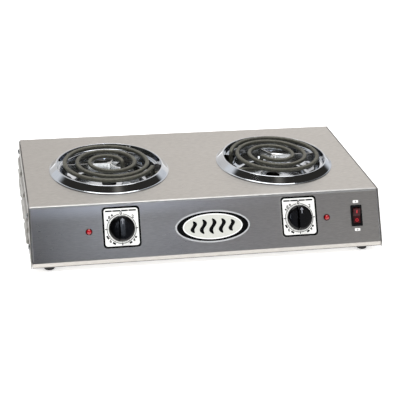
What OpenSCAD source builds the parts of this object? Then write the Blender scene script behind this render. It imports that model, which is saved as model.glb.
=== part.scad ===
// Double electric hot plate: a folded sheet housing with two tubular coil elements in chrome drip pans,
// and a sloping front with two regulators, two pilot lamps and a rocker switch.
// X runs across the front, the front faces -Y and Z is up. The origin is on the table, under the middle.

/* [Housing] */
// Width over the two side panels
body_w = 560; // [540:5:620]
// Depth of the flat deck, front to back
deck_d = 276; // [270:1:290]
// Height of the housing, from its bottom edge to the deck
shell_h = 83; // [80:1:95]
// How far the sloping front panel runs out from the deck
slope_run = 42.5; // [38:0.5:46]
// Height of the upright lip under the front panel
lip_h = 8.5; // [6:0.5:10]
// Thickness of the housing sheet
sheet = 1; // [0.8:0.1:1.2]
// Outside radius of the sheet's bends
bend_r = 3; // [2:0.5:4]
// Thickness of a side panel
side_t = 1.2; // [1:0.1:1.5]
// Height of a rubber foot
foot_h = 9; // [8:0.5:12]

/* [Burners] */
// Distance from the middle to each burner's centre
burner_x = 140; // [138:0.5:145]
// How far the burners sit in front of the deck's middle
burner_fwd = 9; // [6:1:10]
// Radius of the drip pan's outer flange
pan_r = 98; // [96:0.5:100]
// Height of the drip pan's crest over the deck
crest_h = 10.6; // [9:0.1:12]
// Thickness of the drip pan
pan_t = 0.7; // [0.6:0.1:0.9]
// Diameter of the element's tube
tube_d = 7; // [6.4:0.1:7.4]
// Radius of the element's outer turn, to the tube's middle
coil_r = 72.5; // [70:0.5:73]
// Distance from one turn to the next
coil_pitch = 20.4; // [19:0.1:20.6]
// How far the element stands over the pan's crest
coil_proud = 5.5; // [3:0.5:7]

/* [Controls] */
// Distance from each knob to the point midway between them
knob_x = 142; // [135:1:145]
// How far the knobs sit to the right of the middle
knob_shift = 2.5; // [-3:0.5:3]
// Distance of a knob's axis below the panel's top edge
knob_s = 40; // [38:0.5:42]
// Diameter of a knob
knob_d = 40.5; // [36:0.5:42]
// Height of a knob's grip over the panel
knob_h = 18; // [17:1:22]
// Width of a dial plate
plate_w = 59; // [54:1:62]
// Height of a dial plate, along the slope
plate_h = 64; // [60:1:68]
// Distance from the middle to each pilot lamp
lamp_x = 190; // [185:1:195]
// Diameter of a pilot lamp's lens
lamp_d = 10.5; // [9.5:0.5:12]
// Distance from the middle to the rocker switch
switch_x = 240; // [232:1:245]
// Width of the rocker switch's bezel
bezel_w = 18; // [16:0.5:19]
// Height of the rocker switch's bezel, along the slope
bezel_h = 34; // [32:0.5:36]
// Width of the oval badge
badge_w = 119; // [100:1:124]
// Height of the oval badge
badge_h = 50.5; // [40:0.5:54]
// How far the badge sits to the right of the middle
badge_x = 3.5; // [-4:0.5:4]

/* [Hidden] */
$fn = 48;

// A cut's overshoot, so that no two cut faces coincide
over = 1;
LEFT = -1;
RIGHT = 1;

// The housing's outline, front to back
gland_out = 9;
deck_z = foot_h + shell_h;
lip_y = -(deck_d + slope_run + gland_out) / 2;
front_y = lip_y + slope_run;
back_y = front_y + deck_d;
deck_mid_y = (front_y + back_y) / 2;
slope_drop = shell_h - lip_h;
slope_a = atan(slope_run / slope_drop);
flange_in = 28;
seam = 1;
wrap_w = body_w - 2 * side_t - 2 * seam;
side_in_x = body_w / 2 - side_t;

// The burners
burner_y = deck_mid_y - burner_fwd;
deck_hole_r = 85.5;
crest_in_r = 85.6;
crest_out_r = 87.4;
ledge_r = 77.5;
ledge_z = 1;
bowl_r = 60;
bowl_z = -24;
drain_r = 12;
coil_z = crest_h + coil_proud - tube_d / 2;
coil_step = coil_pitch / 4;
tail_a = -23.4;
inner_a = 19;
inner_r = coil_r - 9 * coil_step;
leg_z = -12;
joint_gap = 0.25;
dive_r = 7;
turn_r = 6;

// The element's hinge: its terminal block swings on a pin under the deck
hinge_x = 112;
hinge_z = -14;
pin_r = 2;
hinge_play = 0.05;
block_l = 24;
block_w = 46;
block_h = 14;
tail_y = coil_r * sin(tail_a) + dive_r * cos(tail_a);
inner_y = inner_r * sin(inner_a) - dive_r * cos(inner_a);
block_y = (tail_y + inner_y) / 2;
ear_t = 1.2;
ear_gap = 1;

// The controls
shaft_r = 3;
shaft_play = 0.05;
bushing_r = 4.8;
plate_t = 0.8;
plate_s = 37.5;
lamp_s = 42;
switch_s = 42;
badge_s = 45;
rocker_w = 11.6;
rocker_r = 12.7;
rocker_pivot = -2.5;
rocker_half_swing = 10;
trunnion_r = 1.5;

// The cord's way in, at the back
gland_x = 200;
gland_z = foot_h + 26;
cord_bore_r = 4.5;
gland_r = 8;

// Fasteners
screw_r = 1.9;
head_r = 4.4;
foot_x = 252;
foot_in = 17;

// ---- Outlines ----

function unit(v) = v / norm(v);

// Points on the arc of radius r that rounds the corner b between a and c
function corner(a, b, c, r, n) =
    let (
        u = unit(a - b),
        v = unit(c - b),
        half = acos(u * v) / 2,
        p = b + u * r / tan(half),
        q = b + v * r / tan(half),
        o = b + unit(u + v) * r / sin(half),
        a0 = atan2(p.y - o.y, p.x - o.x),
        turn = (atan2(q.y - o.y, q.x - o.x) - a0 + 540) % 360 - 180
    )
    [for (i = [0:n]) o + r * [cos(a0 + turn * i / n), sin(a0 + turn * i / n)]];

// An open line of points with each inner corner rounded to its own radius
function rounded(pts, radii, n = 6) = [
    pts[0],
    for (i = [1:len(pts) - 2]) each corner(pts[i - 1], pts[i], pts[i + 1], radii[i - 1], n),
    pts[len(pts) - 1]
];

// The point t to the left of point i of a line, square to the line there
function beside(line, i, t) =
    let (
        last = len(line) - 1,
        u = unit(line[min(i + 1, last)] - line[min(i, last - 1)]),
        v = unit(line[max(i, 1)] - line[max(i - 1, 0)]),
        w = unit(u + v)
    )
    line[i] + [-w.y, w.x] * t / (w * u);

// The outline of a sheet of thickness t that follows a line and lies on its left
function sheet_outline(line, t) = concat(line, [for (i = [len(line) - 1:-1:0]) beside(line, i, t)]);

// A rectangle with round corners, centred
function round_rect(w, h, r) = [
    for (q = [0:3], i = [0:6])
        let (a = q * 90 + i * 15, sx = (q == 0 || q == 3) ? 1 : -1, sy = q < 2 ? 1 : -1)
        [sx * (w / 2 - r) + r * cos(a), sy * (h / 2 - r) + r * sin(a)]
];

// Where a knob's axis stands, from the middle
function knob_at(side) = side * knob_x + knob_shift;

function oval(w, h) = [for (a = [0:5:355]) [w / 2 * cos(a), h / 2 * sin(a)]];

function shell_corners() = [
    [back_y, foot_h],
    [back_y, deck_z],
    [front_y, deck_z],
    [lip_y, foot_h + lip_h],
    [lip_y, foot_h]
];

// Extrudes an outline drawn in Y and Z along X, centred
module along_x(l) rotate([90, 0, 90]) linear_extrude(l, center = true) children();

// ---- Places ----

// On the sloping panel: x across, s down from its top edge; then Y runs up the slope and Z out of it
module on_panel(x, s)
    translate([x, front_y - s * sin(slope_a), deck_z - s * cos(slope_a)])
        rotate([90 - slope_a, 0, 0]) children();

// At a burner's centre on the deck; then +X runs towards the burner's terminals
module at_burner(side)
    translate([side * burner_x, burner_y, deck_z])
        rotate([0, 0, side == LEFT ? 0 : 180]) children();

module hex_nut(across, h, hole_r) difference() {
    cylinder(r = across / sqrt(3), h = h, $fn = 6);
    translate([0, 0, -over]) cylinder(r = hole_r, h = h + 2 * over);
}

// A pan-head screw with its head on the plane Z = 0 and its shank going down
module pan_screw(shank) {
    rotate_extrude() polygon([
        [0, -shank], [screw_r - 0.5, -shank], [screw_r, 0.8 - shank], [screw_r, 0], [head_r, 0],
        [head_r, 0.9], [head_r * 0.86, 1.9], [head_r * 0.55, 2.6], [0, 2.8]
    ]);
}

// ---- Housing ----

module housing_wrap() color([0.73, 0.71, 0.68]) {
    corners = shell_corners();
    line = rounded(
        [[back_y - flange_in, foot_h], each corners, [lip_y + flange_in, foot_h]],
        [bend_r, bend_r, bend_r, bend_r, bend_r]
    );
    difference() {
        along_x(wrap_w) polygon(sheet_outline(line, sheet));
        for (side = [LEFT, RIGHT]) {
            at_burner(side) translate([0, 0, -sheet - over]) cylinder(r = deck_hole_r, h = sheet + 2 * over);
            at_burner(side) translate([70, block_y - 18, -sheet - over]) cube([22, 36, sheet + 2 * over]);
            on_panel(knob_at(side), knob_s) translate([0, 0, -sheet - over])
                cylinder(r = bushing_r, h = sheet + 2 * over);
            on_panel(side * lamp_x, lamp_s) translate([0, 0, -sheet - over])
                cylinder(r = lamp_body_r, h = sheet + 2 * over);
            for (end = [-1, 1]) foot_at(side, end) translate([0, 0, -over])
                cylinder(r = screw_r, h = sheet + 2 * over);
        }
        on_panel(switch_x, switch_s) translate([-switch_in_w / 2, -switch_in_h / 2, -sheet - over])
            cube([switch_in_w, switch_in_h, sheet + 2 * over]);
        translate([gland_x, back_y + over, gland_z]) rotate([90, 0, 0])
            cylinder(r = gland_r, h = sheet + 2 * over);
        for (x = base_screw_x, end = [-1, 1]) base_screw_at(x, end) translate([0, 0, -over])
            cylinder(r = screw_r, h = sheet + 2 * over);
        for (i = [-6:6]) translate([i * 14 - 60, back_y, deck_z - 32]) cube([5, 10, 24], center = true);
    }
}

// Louvres: hoods pressed outwards, open along their lower edge
louvre_l = 72;
louvre_h = 8;
louvre_out = 4;
louvre_y = [for (i = [-1:1]) deck_mid_y - 4 + i * 86];
louvre_z = [for (i = [0:2]) deck_z - 29 - i * 19.5];
louvre_r = (louvre_out * louvre_out + louvre_h * louvre_h) / (2 * louvre_out);

// A hood's section: X out of the panel, Y up; inset by t for the hollow
function hood_section(t) =
    let (r = louvre_r - t, top = acos((louvre_r - louvre_out) / r))
    [
        [-side_t, t > 0 ? -over : 0], [louvre_out - t, t > 0 ? -over : 0],
        for (i = [0:8]) [r * cos(top * i / 8) - louvre_r + louvre_out, r * sin(top * i / 8)],
        [-side_t, r * sin(top)]
    ];

module hood(t) {
    half = louvre_l / 2 - louvre_out;
    rotate([90, 0, 0]) linear_extrude(2 * half, center = true) polygon(hood_section(t));
    for (s = [0, 1]) mirror([0, s, 0]) translate([0, half, 0])
        intersection() {
            rotate_extrude() polygon([for (p = hood_section(t)) [max(p.x, 0), p.y]]);
            translate([0, 0, -over]) cube([louvre_out + over, louvre_out + over, louvre_h + 2 * over]);
        }
}

// A side panel, drawn as the right one
module side_panel() {
    line = rounded(shell_corners(), [bend_r, bend_r, bend_r]);
    difference() {
        union() {
            translate([body_w / 2 - side_t / 2, 0, 0]) along_x(side_t) polygon(line);
            for (y = louvre_y, z = louvre_z) translate([body_w / 2, y, z]) hood(0);
        }
        for (y = louvre_y, z = louvre_z) translate([body_w / 2, y, z]) hood(0.9);
        for (p = side_screw_yz) translate([side_in_x - over, p.x, p.y]) rotate([0, 90, 0])
            cylinder(r = screw_r, h = side_t + 2 * over);
    }
}

module side_panel_right() color([0.75, 0.74, 0.72]) side_panel();

module side_panel_left() color([0.75, 0.74, 0.72]) mirror([1, 0, 0]) side_panel();

// Screws in a side panel, as Y and Z: two under the deck, two over the bottom edge
side_screw_yz = [
    [back_y - 14, deck_z - 17], [front_y + 12, deck_z - 19],
    [lip_y + 24, foot_h + 26], [back_y - 14, foot_h + 26]
];

module side_screws() color([0.55, 0.55, 0.56])
    for (s = [0, 1], p = side_screw_yz) mirror([s, 0, 0])
        translate([body_w / 2, p.x, p.y]) rotate([0, 90, 0]) pan_screw(7);

// Angles that tie the side panels to the deck above and the base below
module corner_brackets() color([0.6, 0.6, 0.62])
    for (s = [0, 1], i = [0:3]) mirror([s, 0, 0]) {
        p = side_screw_yz[i];
        upper = i < 2;
        low = upper ? p.y - 8 : foot_h + 2 * sheet;
        high = upper ? deck_z - sheet : p.y + 8;
        difference() {
            union() {
                translate([side_in_x - 1.2, p.x - 7, low]) cube([1.2, 14, high - low]);
                translate([side_in_x - 14, p.x - 7, upper ? high - 1.2 : low]) cube([14, 14, 1.2]);
            }
            translate([side_in_x - 2 - over, p.x, p.y]) rotate([0, 90, 0])
                cylinder(r = screw_r, h = 2 + 2 * over);
        }
    }

base_screw_x = [-120, 0, 120];
base_y0 = lip_y + sheet + 2;
base_y1 = back_y - sheet - 2;

module base_screw_at(x, end)
    translate([x, end < 0 ? lip_y + foot_in : back_y - foot_in, foot_h]) children();

module foot_at(side, end)
    translate([side * foot_x, end < 0 ? lip_y + foot_in : back_y - foot_in, foot_h]) children();

module base_pan() color([0.6, 0.6, 0.62])
    difference() {
        union() {
            translate([-wrap_w / 2 + 1, base_y0, foot_h + sheet])
                cube([wrap_w - 2, base_y1 - base_y0, sheet]);
            for (y = [base_y0, base_y1 - sheet])
                translate([-wrap_w / 2 + 20, y, foot_h + sheet]) cube([wrap_w - 40, sheet, 5]);
        }
        for (x = [-9:9], y = [-60, 20]) if (x != 0)
            translate([x * 26 - 4, y, foot_h]) cube([8, 44, 3 * sheet]);
        for (side = [LEFT, RIGHT], end = [-1, 1]) foot_at(side, end) cylinder(r = screw_r, h = 3 * sheet);
        for (x = base_screw_x, end = [-1, 1]) base_screw_at(x, end) cylinder(r = screw_r, h = 3 * sheet);
    }

module base_screws() color([0.55, 0.55, 0.56])
    for (x = base_screw_x, end = [-1, 1]) base_screw_at(x, end) rotate([180, 0, 0]) pan_screw(6);

module foot(side, end) color([0.06, 0.06, 0.06])
    foot_at(side, end) difference() {
        rotate_extrude() polygon([
            [0, 0], [0, -foot_h], [7.2, -foot_h], [8.2, 0.8 - foot_h], [9.5, -1.5], [9.5, 0]
        ]);
        translate([0, 0, -foot_h - over]) cylinder(r = head_r + 0.4, h = foot_h - 5 + over);
        translate([0, 0, -foot_h]) cylinder(r = screw_r, h = foot_h + over);
    }

module foot_front_left() foot(LEFT, -1);
module foot_front_right() foot(RIGHT, -1);
module foot_back_left() foot(LEFT, 1);
module foot_back_right() foot(RIGHT, 1);

module foot_screws() color([0.55, 0.55, 0.56])
    for (side = [LEFT, RIGHT], end = [-1, 1])
        foot_at(side, end) translate([0, 0, -5]) rotate([180, 0, 0]) pan_screw(11);

// A folded baffle between the burners and the wiring, standing on the base
shield_w = 500;
shield_d = 196;
shield_h = 44;
lead_x = 12;

module lead_hole(x, end) translate([x, end * shield_d / 2, 7.5]) cube([8, 8, 11], center = true);

module heat_shield() color([0.78, 0.78, 0.8])
    translate([0, burner_y, foot_h + 2 * sheet]) difference() {
        union() {
            translate([0, 0, shield_h - 0.5]) cube([shield_w, shield_d, 1], center = true);
            for (s = [-1, 1]) {
                translate([0, s * (shield_d - 1) / 2, shield_h / 2])
                    cube([shield_w, 1, shield_h], center = true);
                translate([0, s * (shield_d / 2 - 6), 0.5]) cube([shield_w, 12, 1], center = true);
            }
        }
        for (i = [-7:7], s = [-1, 1]) translate([i * 32, s * shield_d / 2, shield_h / 2])
            cube([14, 8, 22], center = true);
        // Low holes for the leads, through the front wall and the back wall
        for (side = [LEFT, RIGHT], dx = [-lead_x, lead_x]) lead_hole(knob_at(side) + dx, -1);
        for (x = [knob_at(RIGHT) - lead_x, gland_x - 32, gland_x - 21]) lead_hole(x, 1);
    }

// ---- Burners ----

module drip_pan(side) color([0.82, 0.83, 0.85])
    at_burner(side) difference() {
        rotate_extrude($fn = 96) polygon(sheet_outline(rounded(
            [
                [pan_r, 0], [pan_r, 1], [pan_r - 1.4, 1.6], [crest_out_r, crest_h], [crest_in_r, crest_h],
                [crest_in_r - 2.3, ledge_z], [ledge_r, ledge_z], [ledge_r - 3.5, -14], [bowl_r, bowl_z],
                [drain_r + 5, bowl_z - 1.5], [drain_r, bowl_z - 1.5]
            ],
            [0.8, 1.2, 1.2, 1.3, 1.2, 2, 5, 6, 2]
        ), pan_t));
        translate([60, block_y - 19, -18]) cube([28, 38, 18 + ledge_z + 1.2]);
    }

module drip_pan_left() drip_pan(LEFT);
module drip_pan_right() drip_pan(RIGHT);

// A stretch of tube along an arc about Z; its ends stop just short, inside the collars that join them
module tube_arc(r, from, sweep, d) {
    trim = joint_gap / r * 180 / PI;
    rotate([0, 0, from + trim]) rotate_extrude(angle = sweep - 2 * trim, $fn = 96)
        translate([r, 0]) circle(d = d);
}

// The collar at a joint, a hair wider than the tube
module collar(d) cylinder(d = d + 0.1, h = 4 * joint_gap, center = true);

// The element's turns are half circles whose centres swap sides, so that they join smoothly
module turns(d) {
    tube_arc(coil_r, 180, 180 + tail_a, d);
    for (k = [1:5]) {
        back = k % 2;
        r = coil_r - (2 * k - 1) * coil_step;
        x = (back ? -1 : 1) * coil_step;
        from = back ? (k == 5 ? inner_a : 0) : 180;
        translate([x, 0, 0]) tube_arc(r, from, k == 5 ? 180 - inner_a : 180, d);
        translate([x + (back ? -r : r), 0, 0]) rotate([90, 0, 0]) collar(d);
    }
}

// A leg dives from the end of a turn at p, drops, then bends and runs out level to the terminal block
module leg(p, heading) {
    foot = p + dive_r * [cos(heading), sin(heading)];
    low = leg_z - coil_z;
    translate(p) rotate([0, 0, heading]) {
        rotate([0, 90, 0]) collar(tube_d);
        translate([0, 0, -dive_r]) rotate([90, 0, 0]) tube_arc(dive_r, 0, 90, tube_d);
        translate([dive_r, 0, -dive_r]) collar(tube_d);
    }
    translate([foot.x, foot.y, low + turn_r]) {
        cylinder(d = tube_d, h = -dive_r - joint_gap - low - turn_r);
        translate([turn_r, 0, 0]) rotate([90, 0, 0]) rotate([0, 0, 180])
            rotate_extrude(angle = 90) translate([turn_r, 0]) circle(d = tube_d);
        translate([turn_r, 0, -turn_r]) rotate([0, 90, 0])
            cylinder(d = tube_d, h = hinge_x - block_l / 2 - foot.x - turn_r);
    }
}

module coil(side) color([0.33, 0.33, 0.29])
    at_burner(side) translate([0, 0, coil_z]) {
        turns(tube_d);
        leg([coil_r * cos(tail_a), coil_r * sin(tail_a)], tail_a + 90);
        leg([inner_r * cos(inner_a) - coil_step, inner_r * sin(inner_a)], inner_a - 90);
        for (y = [tail_y, inner_y])
            translate([hinge_x - block_l / 2 - over, y - 3, leg_z - coil_z - 0.6]) cube([9 + over, 6, 1.2]);
    }

module coil_left() coil(LEFT);
module coil_right() coil(RIGHT);

// Three blades under the turns, notched for the tube, that rest on the pan's ledge
module spider(side) color([0.5, 0.5, 0.5])
    at_burner(side) difference() {
        union() {
            for (a = [60, 180, 300]) rotate([90, 0, a]) linear_extrude(1.4, center = true) polygon([
                [0, -3], [71, -3], [75.5, ledge_z + 0.3], [81.3, ledge_z + 0.3], [81.3, ledge_z + 3.5],
                [78, coil_z - 1], [0, coil_z - 1]
            ]);
            translate([0, 0, -3]) cylinder(r = 4, h = coil_z + 2);
        }
        translate([0, 0, coil_z]) turns(tube_d + 0.2);
    }

module spider_left() spider(LEFT);
module spider_right() spider(RIGHT);

module terminal_block(side) color([0.9, 0.87, 0.8])
    at_burner(side) translate([hinge_x, block_y, hinge_z]) difference() {
        cube([block_l, block_w, block_h], center = true);
        rotate([90, 0, 0]) cylinder(r = pin_r + hinge_play, h = block_w + 2 * over, center = true);
        for (y = [tail_y, inner_y]) translate([-block_l / 2 - over, y - block_y - 3.4, leg_z - hinge_z - 1.2])
            cube([10 + over, 6.8, 2.4]);
        for (y = [-1, 1]) translate([block_l / 2, y * 12.2, -1]) cube([7, 8, 8], center = true);
    }

module terminal_block_left() terminal_block(LEFT);
module terminal_block_right() terminal_block(RIGHT);

// Brass screw contacts in the back of the terminal block
module terminal_contacts(side) color([0.8, 0.65, 0.3])
    at_burner(side) translate([hinge_x, block_y, hinge_z]) for (y = [-1, 1])
        translate([block_l / 2 - 3.5, y * 12.2, -1]) rotate([0, 90, 0]) {
            cylinder(r = 2, h = 1.2);
            translate([0, 0, 1.2]) cylinder(r = 3.2, h = 2);
        }

module terminal_contacts_left() terminal_contacts(LEFT);
module terminal_contacts_right() terminal_contacts(RIGHT);

// The fixed bracket that holds the hinge pin under the deck
module terminal_bracket(side) color([0.62, 0.62, 0.64])
    at_burner(side) translate([hinge_x, block_y, 0]) difference() {
        union() {
            translate([-10, -block_w / 2 - ear_gap - ear_t, -sheet - ear_t])
                cube([24, block_w + 2 * ear_gap + 2 * ear_t, ear_t]);
            for (s = [-1, 1])
                translate([-6, s * (block_w / 2 + ear_gap + ear_t / 2) - ear_t / 2, hinge_z - 6])
                    cube([12, ear_t, -hinge_z + 6 - sheet]);
        }
        translate([0, 0, hinge_z]) rotate([90, 0, 0]) cylinder(r = pin_r, h = block_w * 2, center = true);
    }

module terminal_bracket_left() terminal_bracket(LEFT);
module terminal_bracket_right() terminal_bracket(RIGHT);

module hinge_pin(side) color([0.7, 0.7, 0.72])
    at_burner(side) translate([hinge_x, block_y, hinge_z]) rotate([90, 0, 0]) {
        reach = block_w / 2 + ear_gap + ear_t;
        cylinder(r = pin_r, h = 2 * reach + 2, center = true);
        for (s = [0, 1]) mirror([0, 0, s]) translate([0, 0, reach]) cylinder(r = 3.2, h = 1);
    }

module hinge_pin_left() hinge_pin(LEFT);
module hinge_pin_right() hinge_pin(RIGHT);

// ---- Controls ----

regulator_w = 40;
regulator_h = 42;
regulator_d = 28;
bushing_out = 6;
shaft_in = 20;
shaft_out = 15;
nut_t = 3;

module regulator(side) color([0.2, 0.18, 0.17])
    on_panel(knob_at(side), knob_s) difference() {
        union() {
            translate([-regulator_w / 2, -regulator_h / 2, -sheet - regulator_d])
                cube([regulator_w, regulator_h, regulator_d]);
            translate([0, 0, -sheet - over]) cylinder(r = bushing_r, h = bushing_out + sheet + over);
        }
        translate([0, 0, -shaft_in]) cylinder(r = shaft_r + shaft_play, h = shaft_in + bushing_out + over);
    }

module regulator_left() regulator(LEFT);
module regulator_right() regulator(RIGHT);

module regulator_tabs(side) color([0.8, 0.65, 0.3])
    on_panel(knob_at(side), knob_s) translate([0, 0, -sheet - regulator_d])
        for (x = [-12, 12], y = [-12, 0, 12]) translate([x, y, -4]) cube([6.3, 0.8, 8], center = true);

module regulator_tabs_left() regulator_tabs(LEFT);
module regulator_tabs_right() regulator_tabs(RIGHT);

module regulator_shaft(side) color([0.7, 0.7, 0.72])
    on_panel(knob_at(side), knob_s) difference() {
        translate([0, 0, -shaft_in + 0.5]) cylinder(r = shaft_r, h = shaft_in + shaft_out - 0.5);
        translate([-shaft_r, shaft_r - 1.2, bushing_out + 1]) cube([2 * shaft_r, 2, shaft_out]);
    }

module regulator_shaft_left() regulator_shaft(LEFT);
module regulator_shaft_right() regulator_shaft(RIGHT);

module panel_nut(side) color([0.65, 0.65, 0.67])
    on_panel(knob_at(side), knob_s) translate([0, 0, plate_t]) hex_nut(13, nut_t, bushing_r);

module panel_nut_left() panel_nut(LEFT);
module panel_nut_right() panel_nut(RIGHT);

knob_gap = 1.5;
grip_w = 9;

// A round skirt with a grip bar across it; the bar's ends follow the skirt
module knob(side) color([0.03, 0.03, 0.035])
    on_panel(knob_at(side), knob_s) {
        r = knob_d / 2;
        base = plate_t + knob_gap;
        difference() {
            union() {
                rotate_extrude($fn = 96) polygon([
                    [0, base], [r, base], [r, base + 3], [r - 0.5, base + 5], [r - 2, base + 6.4],
                    [0, base + 7.5]
                ]);
                intersection() {
                    rotate([90, 0, 0]) linear_extrude(knob_d, center = true) polygon([
                        [-grip_w / 2 - 1.5, base + 4], [grip_w / 2 + 1.5, base + 4],
                        [grip_w / 2, knob_h - 1.5], [grip_w / 2 - 1.2, knob_h],
                        [1.2 - grip_w / 2, knob_h], [-grip_w / 2, knob_h - 1.5]
                    ]);
                    rotate_extrude($fn = 96) polygon([
                        [0, base + 3], [r - 0.3, base + 3], [r - 1.2, knob_h - 5], [r - 2.6, knob_h - 1.6],
                        [r - 5, knob_h], [0, knob_h]
                    ]);
                }
            }
            translate([0, 0, base - over]) cylinder(r = 12, h = bushing_out - base + 1 + over);
            translate([0, 0, base]) cylinder(r = shaft_r, h = shaft_out - base);
        }
    }

module knob_left() knob(LEFT);
module knob_right() knob(RIGHT);

// The white pointer let into the top of the grip: a shaft and two barbs
module knob_pointer(side) color([0.95, 0.95, 0.95])
    on_panel(knob_at(side), knob_s) translate([0, knob_d / 2 - 5.2, knob_h]) {
        translate([-0.7, -9, 0]) cube([1.4, 9, 0.3]);
        for (s = [-1, 1]) rotate([0, 0, s * 32]) translate([-0.6, -4, 0]) cube([1.2, 4, 0.3]);
    }

module knob_pointer_left() knob_pointer(LEFT);
module knob_pointer_right() knob_pointer(RIGHT);

module dial_plate(side) color([0.92, 0.92, 0.9])
    on_panel(knob_at(side), plate_s) difference() {
        linear_extrude(plate_t) polygon(round_rect(plate_w, plate_h, 6));
        translate([0, plate_s - knob_s, -over]) cylinder(r = bushing_r, h = plate_t + 2 * over);
    }

module dial_plate_left() dial_plate(LEFT);
module dial_plate_right() dial_plate(RIGHT);

lamp_body_r = 4;
lamp_stem_r = 2.8;

module lamp_lens(side) color([0.75, 0.05, 0.05])
    on_panel(side * lamp_x, lamp_s) {
        r = lamp_d / 2;
        rotate_extrude() polygon([
            [0, 0], [r, 0], [r, 1], [r - 0.6, 1.6],
            for (i = [0:6]) [(r - 1) * cos(i * 15), 1.6 + (r - 1.4) * sin(i * 15)]
        ]);
        translate([0, 0, -7]) cylinder(r = lamp_stem_r, h = 7.5);
    }

module lamp_lens_left() lamp_lens(LEFT);
module lamp_lens_right() lamp_lens(RIGHT);

module lamp_body(side) color([0.85, 0.83, 0.78])
    on_panel(side * lamp_x, lamp_s) difference() {
        union() {
            translate([0, 0, -22]) cylinder(r = lamp_body_r, h = 22);
            translate([0, 0, -sheet - 3]) cylinder(r = 6, h = 3);
        }
        translate([0, 0, -7]) cylinder(r = lamp_stem_r, h = 7 + over);
    }

module lamp_body_left() lamp_body(LEFT);
module lamp_body_right() lamp_body(RIGHT);

switch_in_w = 15;
switch_in_h = 30;
bezel_t = 2;
switch_d = 20;

module rocker_housing() color([0.04, 0.04, 0.04])
    on_panel(switch_x, switch_s) difference() {
        union() {
            linear_extrude(bezel_t) polygon(round_rect(bezel_w, bezel_h, 1.5));
            translate([-switch_in_w / 2, -switch_in_h / 2, -switch_d])
                cube([switch_in_w, switch_in_h, switch_d + 1]);
        }
        translate([-rocker_w / 2 - 0.4, -rocker_r - 0.4, 1.5 - switch_d])
            cube([rocker_w + 0.8, 2 * rocker_r + 0.8, switch_d + bezel_t]);
        translate([0, 0, rocker_pivot]) rotate([0, 90, 0])
            cylinder(r = trunnion_r + 0.05, h = switch_in_w + 2 * over, center = true);
    }

// The rocker, drawn midway and turned back to off: its lower end is pressed in
module rocker() color([0.35, 0.02, 0.03])
    on_panel(switch_x, switch_s) translate([0, 0, rocker_pivot]) rotate([rocker_half_swing, 0, 0]) {
        top = 1.2 - rocker_pivot;
        rise = rocker_r * tan(rocker_half_swing);
        intersection() {
            rotate([0, 90, 0]) cylinder(r = rocker_r, h = rocker_w, center = true, $fn = 96);
            rotate([90, 0, 90]) linear_extrude(rocker_w + 2, center = true) polygon([
                [-rocker_r - 1, -5.5], [rocker_r + 1, -5.5], [rocker_r + 1, top + rise], [3, top + 0.6],
                [0, top], [-3, top + 0.6], [-rocker_r - 1, top + rise]
            ]);
        }
        rotate([0, 90, 0]) cylinder(r = trunnion_r, h = switch_in_w - 0.4, center = true);
    }

module rocker_tabs() color([0.8, 0.65, 0.3])
    on_panel(switch_x, switch_s) for (y = [-10, 0, 10])
        translate([0, y, -switch_d - 4]) cube([4.8, 0.8, 8], center = true);

// Little plates over and under the switch
module switch_labels() color([0.95, 0.95, 0.95])
    on_panel(switch_x, switch_s) for (s = [-1, 1])
        translate([0, s * (bezel_h / 2 + 5.5), 0.02]) linear_extrude(0.3) polygon(round_rect(9, 4.5, 0.8));

module badge() color([0.8, 0.8, 0.8])
    on_panel(badge_x, badge_s) {
        linear_extrude(1) polygon(oval(badge_w, badge_h));
        linear_extrude(1.6) difference() {
            polygon(oval(badge_w - 0.6, badge_h - 0.6));
            polygon(oval(badge_w - 4.6, badge_h - 4.6));
        }
    }

// ---- Mains ----

module cord_gland() color([0.05, 0.05, 0.05])
    translate([gland_x, back_y, gland_z]) rotate([-90, 0, 0]) difference() {
        union() {
            translate([0, 0, -14]) cylinder(r = gland_r, h = 15);
            cylinder(r = 11, h = 3);
            translate([0, 0, 3]) cylinder(r1 = 9, r2 = 7, h = gland_out - 3);
        }
        translate([0, 0, -14 - over]) cylinder(r = cord_bore_r, h = 14 + gland_out + 2 * over);
    }

module gland_nut() color([0.08, 0.08, 0.08])
    translate([gland_x, back_y - sheet - 5, gland_z]) rotate([-90, 0, 0]) hex_nut(21, 5, gland_r);

module mains_block() color([0.88, 0.86, 0.8])
    translate([gland_x - 50, back_y - 34, foot_h + 2 * sheet]) difference() {
        cube([36, 16, 13]);
        for (i = [0:2]) translate([7 + i * 11, 8, 5]) cylinder(r = 2.6, h = 13);
    }

module mains_block_screws() color([0.8, 0.65, 0.3])
    translate([gland_x - 50, back_y - 34, foot_h + 2 * sheet]) for (i = [0:2])
        translate([7 + i * 11, 8, 5]) cylinder(r = 2.2, h = 5);

module earth_screw() color([0.75, 0.7, 0.4])
    translate([gland_x + 12, back_y - 30, foot_h + 2 * sheet]) {
        cylinder(r = 2, h = 12);
        cylinder(r = 4.5, h = 1);
        translate([0, 0, 1]) hex_nut(7, 3, 2);
    }

// A straight length of wire, and a lead of several, with a bead at each turn
module rod(a, b, d) {
    v = b - a;
    translate(a) rotate([0, acos(v.z / norm(v)), atan2(v.y, v.x)]) cylinder(d = d, h = norm(v));
}

module lead(pts, d) {
    for (i = [0:len(pts) - 2]) rod(pts[i], pts[i + 1], d);
    for (i = [1:len(pts) - 2]) translate(pts[i]) sphere(d = d * 1.2);
}

wire_d = 3;
wire_z = foot_h + 2 * sheet + 4;

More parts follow.
